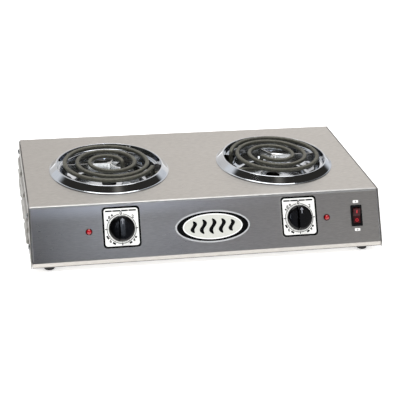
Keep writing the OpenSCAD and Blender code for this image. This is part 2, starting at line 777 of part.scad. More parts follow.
// From each regulator's lower tabs down to the base, back under the baffle and across to the mains block
module wiring() color([0.8, 0.78, 0.7]) {
    tab_y = front_y - knob_s * sin(slope_a) + (regulator_d + sheet + 8) * cos(slope_a);
    tab_z = deck_z - knob_s * cos(slope_a) - (regulator_d + sheet + 8) * sin(slope_a);
    for (side = [LEFT, RIGHT], i = [0, 1]) {
        x = knob_at(side) + (i == 0 ? -lead_x : lead_x);
        z = wire_z + (side == LEFT ? 5 : 0);
        run_y = back_y - 46 - i * 6 - (side == LEFT ? 12 : 0);
        end_x = gland_x - 43 + i * 11 + (side == LEFT ? 11 : 0);
        lead([
            [x, tab_y, tab_z], [x, tab_y + 6, tab_z - 4], [x, tab_y + 12, z], [x, run_y, z],
            [end_x, run_y, z], [end_x, back_y - 34, z]
        ], wire_d);
    }
}

housing_wrap();
side_panel_left();
side_panel_right();
base_pan();
corner_brackets();
side_screws();
base_screws();
heat_shield();
foot_front_left();
foot_front_right();
foot_back_left();
foot_back_right();
foot_screws();
drip_pan_left();
drip_pan_right();
coil_left();
coil_right();
spider_left();
spider_right();
terminal_block_left();
terminal_block_right();
terminal_contacts_left();
terminal_contacts_right();
terminal_bracket_left();
terminal_bracket_right();
hinge_pin_left();
hinge_pin_right();
regulator_left();
regulator_right();
regulator_tabs_left();
regulator_tabs_right();
regulator_shaft_left();
regulator_shaft_right();
panel_nut_left();
panel_nut_right();
knob_left();
knob_right();
knob_pointer_left();
knob_pointer_right();
dial_plate_left();
dial_plate_right();
lamp_lens_left();
lamp_lens_right();
lamp_body_left();
lamp_body_right();
rocker_housing();
rocker();
rocker_tabs();
switch_labels();
badge();
cord_gland();
gland_nut();
mains_block();
mains_block_screws();
earth_screw();
wiring();
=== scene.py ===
"""Finished surfaces for a double electric hot plate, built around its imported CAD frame.

Lengths are in millimetres until a mesh is made, and points are in the frame's own axes:
X runs across the front, the front faces -Y and Z is up.
"""

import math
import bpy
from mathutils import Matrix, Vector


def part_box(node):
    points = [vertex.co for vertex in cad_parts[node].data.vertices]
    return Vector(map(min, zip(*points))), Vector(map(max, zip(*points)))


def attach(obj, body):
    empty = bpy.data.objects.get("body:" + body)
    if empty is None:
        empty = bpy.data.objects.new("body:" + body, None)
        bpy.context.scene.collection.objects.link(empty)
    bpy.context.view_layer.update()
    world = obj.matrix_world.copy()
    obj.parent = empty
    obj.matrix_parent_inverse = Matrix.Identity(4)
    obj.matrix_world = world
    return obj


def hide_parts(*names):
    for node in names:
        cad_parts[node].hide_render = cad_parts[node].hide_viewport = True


bl_info = {
    "name": "Double hot plate",
    "version": (1, 0, 0),
    "blender": (4, 5, 0),
    "location": "3D View > Sidebar > Hot plate",
    "description": "Builds the finished surfaces of a double electric hot plate around its CAD frame",
    "category": "Object",
}

import bmesh
import bpy
import numpy as np
from mathutils import Matrix, Vector

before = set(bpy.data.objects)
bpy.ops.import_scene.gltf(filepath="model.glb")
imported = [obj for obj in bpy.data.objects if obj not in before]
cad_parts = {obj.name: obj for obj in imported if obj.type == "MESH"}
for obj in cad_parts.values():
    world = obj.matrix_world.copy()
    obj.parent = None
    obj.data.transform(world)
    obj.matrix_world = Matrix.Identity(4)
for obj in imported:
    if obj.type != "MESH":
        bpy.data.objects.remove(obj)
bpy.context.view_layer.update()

MM = 0.001
LEFT, RIGHT = -1, 1
SIDES = {"left": LEFT, "right": RIGHT}

# The housing: the deck's height, the front panel's top edge and the panel's own axes
DECK_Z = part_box("housing_wrap")[1].z / MM
LIP_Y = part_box("housing_wrap")[0].y / MM
SLOPE_RUN = 42.5
SLOPE_DROP = 74.5
PANEL_TOP = np.array([0, LIP_Y + SLOPE_RUN, DECK_Z])
ACROSS = np.array([1.0, 0, 0])
UP_SLOPE = np.array([0, SLOPE_RUN, SLOPE_DROP]) / math.hypot(SLOPE_RUN, SLOPE_DROP)
OUT_OF_PANEL = np.cross(ACROSS, UP_SLOPE)

# How far down the slope things sit on the panel, and the dial plate's thickness
KNOB_S = 40
PLATE_S = 37.5
LAMP_S = 42
SWITCH_S = 42
BADGE_S = 45
PLATE_T = 0.8
FOOT_H = 9


def middle_x(node):
    """How far a CAD node's middle lies to the right of the middle."""
    low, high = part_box(node)
    return (low.x + high.x) / 2 / MM


def linear(hex_value):
    """An sRGB hex value as linear red, green and blue: ((c + 0.055) / 1.055) ^ 2.4, or c / 12.92 if dark."""
    channels = [int(hex_value[i : i + 2], 16) / 255 for i in (0, 2, 4)]
    return tuple(c / 12.92 if c <= 0.04045 else ((c + 0.055) / 1.055) ** 2.4 for c in channels)


def colour(name, description, hex_value):
    """A colour property whose default is an sRGB hex value."""
    return bpy.props.FloatVectorProperty(
        name=name, description=description, subtype="COLOR", size=3, min=0, max=1, default=linear(hex_value)
    )


def number(name, description, default, low=0.0, high=100.0):
    """A number property; lengths are in mm."""
    return bpy.props.FloatProperty(name=name, description=description, default=default, min=low, max=high)


# ---- What a user would change ----


class StageProps(bpy.types.PropertyGroup):
    """The camera and the light."""

    lens: number("Lens", "Focal length of the camera, on a 36 mm sensor", 97.6, 20, 200)
    camera_at: bpy.props.FloatVectorProperty(
        name="Camera place", description="Where the camera stands, in mm", subtype="XYZ", size=3,
        default=(-342.6, -1619.3, 815.3)
    )
    yaw: number("Yaw", "How far the camera turns from +Y towards +X, in degrees", 12.39, -180, 180)
    pitch: number("Pitch", "How far the camera looks down, in degrees", 25.34, -90, 90)
    roll: number("Roll", "How far the camera tips to its left, in degrees", 2.1, -45, 45)
    floor: colour("Floor", "Colour of the paper floor", "FCFCFC")
    room: colour("Room", "Colour of the light from all round", "FFFFFF")
    room_light: number("Room light", "Strength of the light from all round", 1.0)
    key: number("Softbox", "Power of the softbox, in watts", 12.0, 0, 1000)
    strip: number("Strip", "Brightness of the strip that the knobs mirror", 9.0)
    overhead: number("Overhead", "Brightness of the overhead card", 3.5)


class HousingProps(bpy.types.PropertyGroup):
    """The folded stainless housing."""

    steel: colour("Steel", "Base colour of the brushed stainless sheet", "C9C5BF")
    steel_dark: colour("Steel, between the lines", "Darker shade in the brushing", "B6B2AC")
    line_gap: number("Line spacing", "Distance between two brushed lines", 0.9, 0.1, 5)
    line_length: number("Line length", "Length of a brushed line", 9.0, 2, 300)
    hem_r: number("Hem radius", "Radius of the rolled edge beside the front panel", 1.1, 0.5, 2)
    bend_w: number("Bend width", "Width of the burnished strip along the fold", 7.0, 4, 12)
    bend_skin: number("Bend skin", "How far the burnished strip stands over the sheet", 0.32, 0.05, 0.5)


class BurnerProps(bpy.types.PropertyGroup):
    """The drip pans and the elements."""

    pan_r: number("Pan radius", "Outer radius of the drip pan's flange", 98.0, 90, 105)
    crest_h: number("Crest height", "Height of the pan's crest over the deck", 10.6, 8, 13)
    crest_out: number("Crest outer radius", "Where the pan's outer flank starts", 87.4, 86, 92)
    crest_in: number("Crest inner radius", "Where the pan's inner wall starts", 85.6, 80, 86)
    ledge_r: number("Ledge radius", "Inner radius of the ledge that carries the spider", 77.5, 75, 80)
    bowl_r: number("Bowl radius", "Radius of the bowl's floor", 60.0, 50, 70)
    bowl_depth: number("Bowl depth", "Depth of the bowl under the deck", 24.0, 15, 40)
    drain_r: number("Drain radius", "Radius of the hole in the bowl", 12.0, 5, 25)
    pan_t: number("Pan thickness", "Thickness of the plated sheet", 0.7, 0.4, 1)
    tube_d: number("Tube diameter", "Diameter of the element's tube", 7.0, 6, 8)
    flat: number("Flat", "How much the press takes off the top of the turns", 0.65, 0, 1.2)
    coil_r: number("Coil radius", "Radius of the outer turn, to the tube's middle", 72.5, 70, 75)
    pitch: number("Turn pitch", "Distance from one turn to the next", 20.4, 18, 22)
    proud: number("Proud", "How far the turns stand over the crest", 5.5, 0, 7)
    chrome: colour("Chrome", "Colour of the chrome plate", "DADDE0")
    sheath: colour("Sheath", "Colour of the element's oxidised sheath", "77766B")


class ControlProps(bpy.types.PropertyGroup):
    """The knobs, their dial plates, the lamps and the switch."""

    knob_d: number("Knob diameter", "Diameter of a knob's skirt", 40.5, 30, 45)
    knob_h: number("Knob height", "Height of a knob's grip over the panel", 18.0, 12, 20)
    grip_w: number("Grip width", "Width of the grip bar", 9.0, 6, 12)
    plate_w: number("Plate width", "Width of a dial plate", 59.0, 50, 64)
    plate_h: number("Plate height", "Height of a dial plate", 64.0, 58, 68)
    border: number("Border", "Width of the black line round a plate", 3.0, 0.5, 4)
    ring_r: number("Ring radius", "Radius of the thin ring printed round the knob", 22.6, 21, 24)
    mark_r: number("Mark radius", "Radius at which the dial's marks are printed", 25.2, 24, 27)
    numeral: number("Numeral height", "Height of the dial's numerals", 5.0, 2, 6)
    lamp_d: number("Lamp diameter", "Diameter of a pilot lamp's lens", 10.5, 8, 12)
    lens_red: colour("Lens", "Colour of the pilot lamp's lens", "B5101C")
    rocker_red: colour("Rocker", "Colour of the rocker", "3C070B")


class BadgeProps(bpy.types.PropertyGroup):
    """The oval badge."""

    width: number("Badge width", "Width of the oval badge", 119.0, 90, 124)
    height: number("Badge height", "Height of the oval badge", 50.5, 40, 54)
    side_band: number("Side band", "Width of the dark band at the oval's ends", 9.5, 2, 20)
    top_band: number("Top band", "Width of the dark band at the oval's top", 2.9, 1, 8)
    line: number("Line", "Width of the light line inside the band", 1.7, 0.5, 4)
    waves: bpy.props.IntProperty(name="Waves", description="Number of heat waves", default=5, min=1, max=9)
    face: colour("Face", "Colour of the badge's face", "BEBFB9")


# ---- Shapes ----


def unit(v):
    """Each vector along the last axis divided by its length."""
    return v / np.linalg.norm(v, axis=-1, keepdims=True)


def rounded(line, cut, steps=8):
    """An open line with each inner corner b replaced by (1-t)^2 p + 2t(1-t) b + t^2 q, where p and q lie on the
    line, cut before and after b."""
    line = np.asarray(line, float)
    cut = np.broadcast_to(np.asarray(cut, float), len(line) - 2)[:, None]
    at = line[1:-1]
    p = (at + cut * unit(line[:-2] - at))[:, None]
    q = (at + cut * unit(line[2:] - at))[:, None]
    t = np.linspace(0, 1, steps + 1)[None, :, None]
    curve = (1 - t) ** 2 * p + 2 * t * (1 - t) * at[:, None] + t**2 * q
    return np.vstack([line[:1], curve.reshape(-1, line.shape[1]), line[-1:]])


def evenly(line, step):
    """The same line with a point at least every step along each stretch, its own points kept."""
    counts = np.maximum(1, np.ceil(np.linalg.norm(np.diff(line, axis=0), axis=1) / step)).astype(int)
    place = np.concatenate([i + np.arange(n) / n for i, n in enumerate(counts)] + [[len(line) - 1.0]])
    return np.stack([np.interp(place, np.arange(len(line)), line[:, k]) for k in range(line.shape[1])], -1)


def grid(points, wrap_rows=False, wrap_cols=False, caps=False):
    """A surface through points of shape rows x columns x 3, with a four-sided face between neighbours. A wrapped
    direction joins its last line to its first, and caps close the first and the last row with one face each."""
    rows, cols = points.shape[:2]
    row, col = np.meshgrid(
        np.arange(rows if wrap_rows else rows - 1), np.arange(cols if wrap_cols else cols - 1), indexing="ij"
    )
    below, beside = (row + 1) % rows, (col + 1) % cols
    quads = np.stack([row * cols + col, below * cols + col, below * cols + beside, row * cols + beside], -1)
    faces = quads.reshape(-1, 4).tolist()
    if caps:
        faces += [list(range(cols))[::-1], list(range((rows - 1) * cols, rows * cols))]
    return points.reshape(-1, 3), faces


def joined(parts):
    """Several surfaces as one list of points and one of faces."""
    starts = np.cumsum([0] + [len(points) for points, _ in parts])
    faces = [[start + i for i in face] for start, (_, part) in zip(starts, parts) for face in part]
    return np.vstack([points for points, _ in parts]), faces


def lathe(profile, steps=192):
    """The profile (r, z) turned about Z: (r cos a, r sin a, z) for a from 0 to a full turn."""
    a = np.linspace(0, 2 * math.pi, steps, endpoint=False)[:, None]
    r, z = profile[None, :, 0], profile[None, :, 1]
    return grid(np.stack([r * np.cos(a), r * np.sin(a), z + 0 * a], -1), wrap_rows=True)


def tube(path, side, up, section, caps=True):
    """The section (a, b) carried along the path: path + a side + b up."""
    section = np.broadcast_to(section, (len(path),) + section.shape[-2:])
    points = path[:, None] + section[..., :1] * side[:, None] + section[..., 1:] * up[:, None]
    return grid(points, wrap_cols=True, caps=caps)


def flat(outline, height):
    """An outline (x, y) at that height."""
    return np.column_stack([outline, np.full(len(outline), float(height))])


def slab(outline, low, high):
    """A closed outline (x, y) raised from one height to another."""
    return grid(np.stack([flat(outline, low), flat(outline, high)]), wrap_cols=True, caps=True)


def ring_slab(outer, inner, low, high):
    """The band between two outlines with the same number of points, raised from one height to another."""
    rows = [flat(outer, low), flat(outer, high), flat(inner, high), flat(inner, low)]
    return grid(np.stack(rows), wrap_rows=True, wrap_cols=True)


def oval(width, height, steps=160):
    """An ellipse: (w/2 cos t, h/2 sin t)."""
    t = np.linspace(0, 2 * math.pi, steps, endpoint=False)
    return np.stack([width / 2 * np.cos(t), height / 2 * np.sin(t)], -1)


def round_rect(width, height, r, steps=10):
    """A rectangle with its corners rounded to radius r: corner centre + r (cos t, sin t), a quarter turn each."""
    t = np.linspace(0, math.pi / 2, steps + 1)
    quarter = np.arange(4)[:, None] * math.pi / 2
    arc = np.stack([np.cos(t + quarter), np.sin(t + quarter)], -1) * r
    signs = np.array([[1, 1], [-1, 1], [-1, -1], [1, -1]])
    return (arc + (signs * [width / 2 - r, height / 2 - r])[:, None]).reshape(-1, 2)


def dial_bar(r_in, r_out, start, end, low, high, steps=16):
    """A slab between two radii and two angles, in degrees clockwise from the top: (r sin a, r cos a)."""
    a = np.radians(np.linspace(start, end, steps))
    ray = np.stack([np.sin(a), np.cos(a)], -1)
    return slab(np.vstack([ray * r_out, ray[::-1] * r_in]), low, high)


def numeral(text, height, low, high):
    """A generic numeral as a slab, centred on the origin."""
    curve = bpy.data.curves.new("numeral", "FONT")
    curve.body = text
    curve.size = height / 0.7  # a numeral is about 0.7 of its font's size
    curve.align_x, curve.align_y = "CENTER", "CENTER"
    curve.resolution_u = 6
    curve.offset = height * 0.035  # a bold face
    curve.extrude = (high - low) / 2
    holder = bpy.data.objects.new("numeral", curve)
    bpy.context.scene.collection.objects.link(holder)
    mesh = bpy.data.meshes.new_from_object(holder.evaluated_get(bpy.context.evaluated_depsgraph_get()))
    points = np.zeros(len(mesh.vertices) * 3)
    mesh.vertices.foreach_get("co", points)
    points = points.reshape(-1, 3)
    points += [0, 0, (high + low) / 2]
    points[:, :2] -= (points[:, :2].max(0) + points[:, :2].min(0)) / 2
    faces = [list(face.vertices) for face in mesh.polygons]
    bpy.data.objects.remove(holder)
    bpy.data.meshes.remove(mesh)
    bpy.data.curves.remove(curve)
    return points, faces


def moved(surface, by=(0, 0, 0), turn=0.0):
    """A surface turned clockwise about Z by so many degrees, then moved."""
    points, faces = surface
    c, s = math.cos(math.radians(turn)), math.sin(math.radians(turn))
    return points @ np.array([[c, -s, 0], [s, c, 0], [0, 0, 1]]) + np.asarray(by, float), faces


def on_panel(surface, x, s):
    """From the panel's own axes (across, up the slope, out) at the place x, s to the frame's."""
    points, faces = surface
    axes = np.stack([ACROSS, UP_SLOPE, OUT_OF_PANEL])
    return PANEL_TOP + ACROSS * x - UP_SLOPE * s + points @ axes, faces


def at_burner(surface, side):
    """From a burner's own axes, X towards the deck's middle, to the frame's: the right one is turned half round."""
    points, faces = surface
    low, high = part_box("drip_pan_left" if side == LEFT else "drip_pan_right")
    centre = np.array([(low.x + high.x) / 2 / MM, (low.y + high.y) / 2 / MM, DECK_Z])
    return centre + points * [-side, -side, 1], faces


def piece(name, surface, finish_name, body, replaces=(), smooth_under=35, thickness=0.0):
    """Makes a closed, outward-facing mesh object of a surface in mm. A thickness in mm first turns it into a shell
    below the surface; edges sharper than smooth_under degrees stay sharp."""
    points, faces = surface
    mesh = bpy.data.meshes.new(name)
    mesh.from_pydata((points * MM).tolist(), [], faces)
    build = bmesh.new()
    build.from_mesh(mesh)
    bmesh.ops.remove_doubles(build, verts=build.verts, dist=0.002 * MM)
    bmesh.ops.recalc_face_normals(build, faces=build.faces)
    build.to_mesh(mesh)
    build.free()
    made = bpy.data.objects.new(name, mesh)
    bpy.context.scene.collection.objects.link(made)
    if thickness:
        shell = made.modifiers.new("Sheet", "SOLIDIFY")
        shell.thickness, shell.offset = thickness * MM, -1
        mesh = bpy.data.meshes.new_from_object(made.evaluated_get(bpy.context.evaluated_depsgraph_get()))
        made.modifiers.clear()
        made.data = mesh
    mesh.polygons.foreach_set("use_smooth", np.ones(len(mesh.polygons), bool))
    mesh.set_sharp_from_angle(angle=math.radians(smooth_under))
    mesh.materials.clear()
    mesh.materials.append(finish(finish_name))
    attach(made, body)
    if replaces:
        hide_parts(*replaces)
    return made


# ---- Finishes ----


def add(mat, kind, links=None, **settings):
    """Adds one shader node, with its settings, and fills its inputs from values, from other nodes' outputs or,
    given a node, from its first output. Map Range's inputs 1 to 4 are From Min, From Max, To Min and To Max."""
    made = mat.node_tree.nodes.new("ShaderNode" + kind)
    for key, value in settings.items():
        setattr(made, key, value)
    for key, value in (links or {}).items():
        if isinstance(value, bpy.types.Node):
            value = value.outputs[0]
        if isinstance(value, bpy.types.NodeSocket):
            mat.node_tree.links.new(value, made.inputs[key])
        else:
            made.inputs[key].default_value = value
    return made


def make_finish(
    name, shade, other, grain, rough, bump=0, smudge=60, smudge_rough=0.06, detail=3, metallic=0, **constants
):
    """One procedural finish. A noise with cells of grain = (x, y, z) mm mixes shade into other, moves the
    roughness over the range rough and lifts the surface by bump mm; a second noise, smudge mm wide, adds marks."""
    mat = bpy.data.materials.new(name)
    mat.use_nodes = True
    surface = mat.node_tree.nodes["Principled BSDF"]
    links = mat.node_tree.links
    place = add(mat, "TexCoord").outputs["Object"]
    cells = [1 / (g * MM) for g in grain]
    fine_place = add(mat, "Mapping", {"Vector": place, "Scale": cells})
    fine = add(mat, "TexNoise", {"Vector": fine_place, "Scale": 1.0, "Detail": detail, "Roughness": 0.55})
    broad = add(mat, "TexNoise", {"Vector": place, "Scale": 1 / (smudge * MM), "Detail": 2.0})
    contrast = add(mat, "MapRange", {0: fine, 1: 0.3, 2: 0.7})
    paint = add(mat, "Mix", {0: contrast, 6: (*shade, 1), 7: (*other, 1)}, data_type="RGBA")
    links.new(paint.outputs[2], surface.inputs["Base Color"])
    even_rough = add(mat, "MapRange", {0: contrast, 3: rough[0], 4: rough[1]})
    marks = add(mat, "MapRange", {0: broad, 1: 0.35, 2: 0.65, 3: 0, 4: smudge_rough})
    all_rough = add(mat, "Math", {0: even_rough, 1: marks}, operation="ADD")
    links.new(all_rough.outputs[0], surface.inputs["Roughness"])
    if bump:
        lifted = add(mat, "Bump", {"Height": fine, "Distance": bump * MM, "Strength": 1.0})
        links.new(lifted.outputs[0], surface.inputs["Normal"])
    surface.inputs["Metallic"].default_value = metallic
    for key, value in constants.items():
        surface.inputs[key.replace("_", " ")].default_value = value
    return mat


def overlay(mat, mask, shade):
    """Mixes another shade over a finish's base colour where the mask is 1."""
    base = mat.node_tree.nodes["Principled BSDF"].inputs["Base Color"]
    under = base.links[0].from_socket
    over = add(mat, "Mix", {0: mask, 6: under, 7: (*linear(shade), 1)}, data_type="RGBA")
    mat.node_tree.links.new(over.outputs[2], base)


def painted_shade_and_highlight(mat):
    """Two tones painted on the housing's sheet: a painted shade, a dark line along the lip's lower bend, and a
    painted highlight, a lighter band under the fold, stronger towards the left. They stand in for shade and
    highlight on the sheet there, and aren't known wear."""
    x, y, z = add(mat, "SeparateXYZ", {0: add(mat, "TexCoord").outputs["Object"]}).outputs
    # Painted shade: a dark line along the lip's lower bend
    low = add(mat, "MapRange", {0: z, 1: (FOOT_H + 1.5) * MM, 2: (FOOT_H + 2.5) * MM, 3: 1, 4: 0})
    front = add(mat, "MapRange", {0: y, 1: (LIP_Y + 2) * MM, 2: (LIP_Y + 4) * MM, 3: 1, 4: 0})
    overlay(mat, add(mat, "Math", {0: low, 1: front}, operation="MULTIPLY"), "2E2E33")
    # Painted highlight: a lighter band under the fold, stronger towards the left
    rise = {0: z, 1: (DECK_Z - 26) * MM, 2: (DECK_Z - 1) * MM, 3: 0, 4: 0.55}
    high = add(mat, "MapRange", rise, interpolation_type="SMOOTHERSTEP")
    before = add(mat, "MapRange", {0: y, 1: PANEL_TOP[1] * MM, 2: (PANEL_TOP[1] + 1) * MM, 3: 1, 4: 0})
    band = add(mat, "Math", {0: high, 1: before}, operation="MULTIPLY")
    across = add(mat, "MapRange", {0: x, 1: -0.2, 2: 0.15, 3: 1, 4: 0})
    overlay(mat, add(mat, "Math", {0: band, 1: across}, operation="MULTIPLY"), "FCFCFF")


RECIPES, FINISHES = {}, {}


def recipe(name, nodes, *settings, **more):
    """Writes down a finish and the CAD nodes that are made of it, where a name ending in _ stands for the left and
    the right one. The settings are make_finish's. A shade is a hex value or a property, written as group.name, and
    a grain is one cell size or three, each a number or a property of the housing."""
    RECIPES[name] = nodes.split(), settings, more


def read(shade):
    """A recipe's shade as a linear colour."""
    if "." not in shade:
        return linear(shade)
    group, name = shade.split(".")
    return tuple(getattr(getattr(bpy.context.scene, "hot_plate_" + group), name))


def finish(name):
    """The finish of that name, made from its recipe the first time it's asked for."""
    if name not in FINISHES:
        _, (shade, other, grain, rough, *bump), more = RECIPES[name]
        housing = bpy.context.scene.hot_plate_housing
        grain = grain if isinstance(grain, tuple) else (grain,) * 3
        cells = [getattr(housing, g) if isinstance(g, str) else g for g in grain]
        FINISHES[name] = make_finish(name, read(shade), read(other), cells, rough, *bump, **more)
        # The housing's sheet gets a painted shade line along the lip and a painted highlight band under the fold
        if name == "brushed_stainless_304":
            painted_shade_and_highlight(FINISHES[name])
    return FINISHES[name]


# 304 stainless sheet, brushed along X: long faint lines that blur what the sheet mirrors. The real lines are
# finer than 0.1 mm, so they are drawn several times coarser to show at all.
# Its base colour also gets a painted shade line along the lip's lower bend and a painted highlight band under the
# fold.
recipe(
    "brushed_stainless_304", "housing_wrap", "housing.steel", "housing.steel_dark",
    ("line_length", "line_gap", "line_gap"), (0.27, 0.34), 0.001, smudge=90, smudge_rough=0.05, metallic=1
)
# The same sheet on the side panels, brushed front to back, painted darker than the housing's sheet as a painted
# shade, and set less metallic than real steel. Seen edge on it still shows paler than the real panel does.
recipe(
    "brushed_stainless_304_side_painted_shade", "side_panel_", "918F8A", "827F7A", ("line_gap", "line_length", "line_gap"),
    (0.34, 0.44), 0.003, smudge=70, smudge_rough=0.05, metallic=0.55, Specular_IOR_Level=0.2
)
# A rolled and buffed sheet edge: bright, with a few rub marks
recipe("buffed_stainless_edge", "", "E4E3E0", "D2D1CE", (12, 3, 3), (0.3, 0.38), metallic=1)
# Decorative chrome over nickel on pressed steel: nearly a mirror, with faint ripple from the press and a trace
# of heat stain in patches a few centimetres wide
recipe(
    "chrome_plated_steel", "drip_pan_", "burner.chrome", "CBCED2", 35, (0.04, 0.07), 0.05, smudge=30,
    smudge_rough=0.04, detail=1, metallic=1
)
# Oxidised nickel-iron alloy tube, matt olive grey, with darker scale from its first heats
recipe(
    "oxidised_alloy_sheath", "coil_", "burner.sheath", "58574F", 2.2, (0.38, 0.5), 0.02, smudge=25,
    smudge_rough=0.1, metallic=0.75
)
# Cold-rolled stainless strip, bright with rolling lines
recipe("rolled_stainless_strip", "spider_", "D4D4D2", "B9B9B7", (8, 8, 1), (0.15, 0.25), 0.004, metallic=1)
# Bright zinc plate on steel, slightly blue and cloudy, in spangles about 2 mm wide
recipe(
    "zinc_plated_steel", "base_pan corner_brackets terminal_bracket_ hinge_pin_ regulator_shaft_ panel_nut_",
    "B9BCC0", "9FA3A8", 2, (0.28, 0.4), 0.005, metallic=1
)
# Machine screws in nickel plate, with drive marks
recipe(
    "nickel_plated_screw", "side_screws base_screws foot_screws", "8F9092", "6F7072", 0.6, (0.25, 0.35), 0.01,
    metallic=1
)
# Mill-finish aluminium sheet with lengthwise rolling lines, as on a heat shield
recipe("mill_aluminium", "heat_shield", "C8C9CB", "B2B3B6", (60, 1.5, 1.5), (0.3, 0.42), 0.006, metallic=1)
# Turned brass contacts, slightly tarnished
recipe(
    "turned_brass", "terminal_contacts_ regulator_tabs_ rocker_tabs mains_block_screws earth_screw", "C9A45A",
    "A5803F", 1.2, (0.25, 0.4), 0.004, metallic=1
)
# Pressed steatite, unglazed: cream, chalky, with a fine grain
recipe("pressed_steatite", "terminal_block_ mains_block", "DDD5C2", "CFC6B1", 0.7, (0.6, 0.75), 0.02)
# Compression-moulded phenolic, dark brown with a light flow mottle
recipe("moulded_phenolic_brown", "regulator_", "2B221E", "1D1714", 4, (0.35, 0.5), 0.01)
# Phenolic moulded in a polished tool: deep gloss black with a slight orange-peel
recipe(
    "moulded_phenolic_gloss_black", "knob_", "050506", "020203", 3, (0.09, 0.15), 0.012, smudge=15, detail=1,
    IOR=1.55, Specular_IOR_Level=0.28
)
# White ink over the small label plates, flat and slightly matt
recipe("white_fill_ink", "switch_labels", "F4F4F2", "E6E6E3", 0.5, (0.4, 0.5), 0.006)
# Silver-grey foil, hot-stamped into the knob's pointer
recipe("stamped_silver_foil", "knob_pointer_", "A3A5AB", "8B8D94", 0.8, (0.35, 0.45), 0.005, metallic=0.3)
# Stove enamel on an aluminium plate: smooth, slightly warm white
recipe("white_stove_enamel", "dial_plate_", "FAFAF7", "F1F1ED", 6, (0.25, 0.33), 0.004, smudge=20)
# Black screen ink, semi-matt, with the mesh's fine tooth
recipe("black_screen_ink", "", "030303", "070708", 0.4, (0.4, 0.5), 0.006, Specular_IOR_Level=0.12)
# Clear red acrylic over a neon lamp: deep red with a hard gloss
recipe(
    "clear_red_acrylic", "lamp_lens_", "controls.lens_red", "8E0912", 1.5, (0.06, 0.1), smudge=5,
    smudge_rough=0.03, Coat_Weight=1, Coat_Roughness=0.03
)
# The lens's flange: the same acrylic, painted nearly black as a painted shade where no light comes through from
# behind
recipe("red_acrylic_painted_shade", "", "3A0408", "260205", 1.5, (0.1, 0.16), Specular_IOR_Level=0.3)
# Bright red acrylic let into the rocker, for its marks
recipe("bright_red_acrylic", "", "C0202E", "9C1420", 1, (0.15, 0.22), Specular_IOR_Level=0.4)
# Tinted polycarbonate rocker, dark red and glossy, with fine moulding lines
recipe(
    "tinted_red_polycarbonate", "rocker", "controls.rocker_red", "2A0407", (5, 0.8, 0.8), (0.15, 0.25), 0.008,
    smudge=6, Specular_IOR_Level=0.3
)
# Glass-filled nylon, moulded black, satin with a fine texture
recipe(
    "moulded_black_nylon", "rocker_housing cord_gland gland_nut", "060607", "0C0C0D", 0.5, (0.35, 0.48), 0.012,
    Specular_IOR_Level=0.2
)
# Natural nylon lamp body, milky and slightly waxy
recipe("natural_nylon", "lamp_body_", "DDD8CB", "CFCABC", 2, (0.4, 0.5), 0.004)
# Moulded neoprene foot, matt black with a dusty bloom
recipe("moulded_neoprene", "foot_front_ foot_back_", "161616", "232322", 0.8, (0.6, 0.75), 0.02)
# Satin anodised aluminium, die-cut and domed at its rim
recipe("satin_anodised_aluminium", "badge", "D9DADA", "C8C9C9", (20, 0.6, 0.6), (0.22, 0.3), 0.003, metallic=0.35)
# Silver-white lacquer on the badge's face, with a fine speckle
recipe("silver_white_lacquer", "", "badge.face", "D2D3CB", 0.8, (0.3, 0.4), 0.004)
# Gloss white lacquer, in the badge's light line
recipe("gloss_white_lacquer", "", "FBFBFA", "F3F3F1", 3, (0.2, 0.28), 0.003)
# Glass-fibre sleeving on the leads: off-white braid about 0.5 mm wide
recipe("glass_fibre_sleeve", "wiring", "D9D4C4", "B8B2A0", 0.5, (0.6, 0.8), 0.05)


# ---- Operators ----


